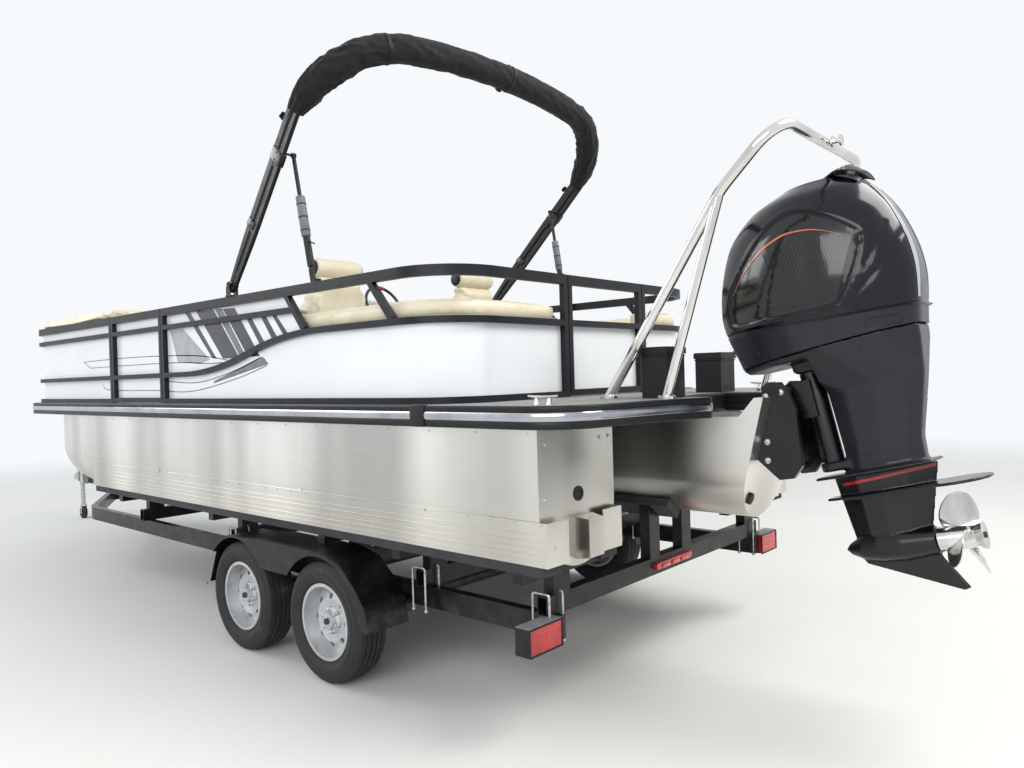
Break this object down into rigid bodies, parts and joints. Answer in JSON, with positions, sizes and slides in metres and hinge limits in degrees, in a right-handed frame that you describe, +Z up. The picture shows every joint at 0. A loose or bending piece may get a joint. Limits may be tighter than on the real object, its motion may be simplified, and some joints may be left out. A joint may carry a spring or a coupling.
{
  "type": "pontoon boat on its trailer",
  "caption": "Pontoon boat with fenced deck, lounges, helm, folded bimini top, tow arch and outboard motor, standing on a tandem-axle trailer.",
  "frame": {"origin": "on the ground, under the middle of the whole length and width", "axes": "+X to the bow and the trailer's coupler, +Y to port, +Z up"},
  "size_m": [10.2821, 2.74, 3.6429],
  "materials": {
    "pontoon_metal": "brushed",
    "deck_sheet": "matte",
    "beam_metal": "mill",
    "rub_rail": "satin",
    "fence_bar": "gloss",
    "fence_panel": "gloss",
    "lounge_shell": "satin",
    "cushion_vinyl": "satin",
    "console_shell": "satin",
    "wheel_grip": "matte",
    "pedestal": "satin",
    "arch_tube": "polished",
    "box_plastic": "satin",
    "cowl_paint": "gloss",
    "engine": "matte",
    "leg_paint": "satin",
    "motor_black": "satin",
    "propeller_steel": "polished",
    "top_frame": "satin",
    "boot_fabric": "matte",
    "trailer_paint": "gloss",
    "bunk_carpet": "matte",
    "axle_paint": "satin",
    "tyre_rubber": "matte",
    "rim_metal": "satin",
    "zinc": "zinc",
    "jack_rubber": "matte",
    "lamp": "gloss"
  },
  "bodies": {
    "boat_on_trailer": {"aft_lounge_bases": "lounge_shell", "aft_lounge_cushions": "cushion_vinyl", "axles": "axle_paint", "bimini_mounts": "top_frame", "bow_lounge_bases": "lounge_shell", "bow_lounge_cushions": "cushion_vinyl", "bunk_brackets": "trailer_paint", "bunks": "bunk_carpet", "chair_pedestals": "pedestal", "clamp_bracket": "motor_black", "coupler": "zinc", "crossbars": "trailer_paint", "deck": "deck_sheet", "deck_beams": "beam_metal", "fence_port_aft": "fence_bar", "fence_port_bow": "fence_bar", "fence_starboard": "fence_bar", "fenders": "trailer_paint", "helm_console": "console_shell", "jack_tube": "zinc", "leaf_springs": "axle_paint", "panels_port": "fence_panel", "panels_starboard": "fence_panel", "pontoon_center": "pontoon_metal", "pontoon_port": "pontoon_metal", "pontoon_starboard": "pontoon_metal", "rub_rail": "rub_rail", "stern_boxes": "box_plastic", "tail_lights": "lamp", "tow_arch": "arch_tube", "trailer_frame": "trailer_paint", "winch_post": "trailer_paint"},
    "wheel_front_port": {"tyre_front_port": "tyre_rubber", "rim_front_port": "rim_metal"},
    "wheel_front_starboard": {"tyre_front_starboard": "tyre_rubber", "rim_front_starboard": "rim_metal"},
    "wheel_rear_port": {"tyre_rear_port": "tyre_rubber", "rim_rear_port": "rim_metal"},
    "wheel_rear_starboard": {"tyre_rear_starboard": "tyre_rubber", "rim_rear_starboard": "rim_metal"},
    "motor_tilt": {"swivel_bracket": "motor_black"},
    "motor_steer": {"cowl": "cowl_paint", "engine_block": "engine", "midsection": "leg_paint", "gearcase": "motor_black"},
    "propeller_body": {"propeller": "propeller_steel"},
    "side_gate": {"side_gate_frame": "fence_bar", "side_gate_panel": "fence_panel"},
    "stern_gate": {"stern_gate_frame": "fence_bar", "stern_gate_panel": "fence_panel"},
    "bow_gate": {"bow_gate_frame": "fence_bar", "bow_gate_panel": "fence_panel"},
    "helm_seat": {"helm_chair": "cushion_vinyl"},
    "companion_seat": {"companion_chair": "cushion_vinyl"},
    "steering": {"steering_wheel": "wheel_grip"},
    "bimini": {"bimini_bows": "top_frame", "bimini_boot": "boot_fabric"},
    "braces": {"bimini_braces": "top_frame"},
    "jack_slider": {"jack_leg": "zinc"},
    "jack_caster": {"jack_wheel": "jack_rubber"}
  },
  "joints": [
    {"name": "roll_front_port", "type": "hinge", "parent": "boat_on_trailer", "child": "wheel_front_port", "pos_m": [-1.37693, 1.2475, 0.332], "axis": [0, 1, 0], "continuous": true},
    {"name": "roll_front_starboard", "type": "hinge", "parent": "boat_on_trailer", "child": "wheel_front_starboard", "pos_m": [-1.37693, -1.2475, 0.332], "axis": [0, 1, 0], "continuous": true},
    {"name": "roll_rear_port", "type": "hinge", "parent": "boat_on_trailer", "child": "wheel_rear_port", "pos_m": [-2.23393, 1.2475, 0.332], "axis": [0, 1, 0], "continuous": true},
    {"name": "roll_rear_starboard", "type": "hinge", "parent": "boat_on_trailer", "child": "wheel_rear_starboard", "pos_m": [-2.23393, -1.2475, 0.332], "axis": [0, 1, 0], "continuous": true},
    {"name": "tilt", "type": "hinge", "parent": "boat_on_trailer", "child": "motor_tilt", "pos_m": [-4.28693, 0, 1.52], "axis": [0, 1, 0], "range_deg": [-16.5, 48.5]},
    {"name": "steer", "type": "hinge", "parent": "motor_tilt", "child": "motor_steer", "pos_m": [-4.40361, 0, 1.54801], "axis": [0.2334, 0, 0.9724], "range_deg": [-32, 32]},
    {"name": "propeller_spin", "type": "hinge", "parent": "motor_steer", "child": "propeller_body", "pos_m": [-5.02247, 0, 0.88723], "axis": [0.9724, 0, -0.2334], "continuous": true},
    {"name": "side_gate_hinge", "type": "hinge", "parent": "boat_on_trailer", "child": "side_gate", "pos_m": [0.72557, 1.193, 1.85], "axis": [0, 0, 1], "range_deg": [0, 90]},
    {"name": "stern_gate_hinge", "type": "hinge", "parent": "boat_on_trailer", "child": "stern_gate", "pos_m": [-3.10893, 0.2805, 1.85], "axis": [0, 0, 1], "range_deg": [0, 90]},
    {"name": "bow_gate_hinge", "type": "hinge", "parent": "boat_on_trailer", "child": "bow_gate", "pos_m": [2.56207, 0.3865, 1.85], "axis": [0, 0, -1], "range_deg": [0, 90]},
    {"name": "helm_chair_swivel", "type": "hinge", "parent": "boat_on_trailer", "child": "helm_seat", "pos_m": [-1.28093, -0.6, 1.84], "axis": [0, 0, 1], "continuous": true},
    {"name": "companion_chair_swivel", "type": "hinge", "parent": "boat_on_trailer", "child": "companion_seat", "pos_m": [-1.17093, 0.6, 1.84], "axis": [0, 0, 1], "continuous": true},
    {"name": "steering_wheel_turn", "type": "hinge", "parent": "boat_on_trailer", "child": "steering", "pos_m": [-0.45093, -0.6, 2.28], "axis": [0.9063, 0, -0.4226], "continuous": true},
    {"name": "bimini_fold", "type": "hinge", "parent": "boat_on_trailer", "child": "bimini", "pos_m": [-1.16593, 0, 2.234], "axis": [0, 1, 0], "range_deg": [-40, 30]},
    {"name": "brace_fold", "type": "hinge", "parent": "bimini", "child": "braces", "pos_m": [-1.87159, 0, 2.94959], "axis": [0, 1, 0], "range_deg": [-52.6, 39.45]},
    {"name": "jack_slide", "type": "slide", "parent": "boat_on_trailer", "child": "jack_slider", "axis": [0, 0, 1], "range_m": [0, 0.25]},
    {"name": "jack_wheel_roll", "type": "hinge", "parent": "jack_slider", "child": "jack_caster", "pos_m": [4.70907, 0.088, 0.075], "axis": [0, 1, 0], "continuous": true}
  ],
  "couplings": [
    {"joint": "brace_fold", "follows": "bimini_fold", "ratio": 1.315}
  ]
}
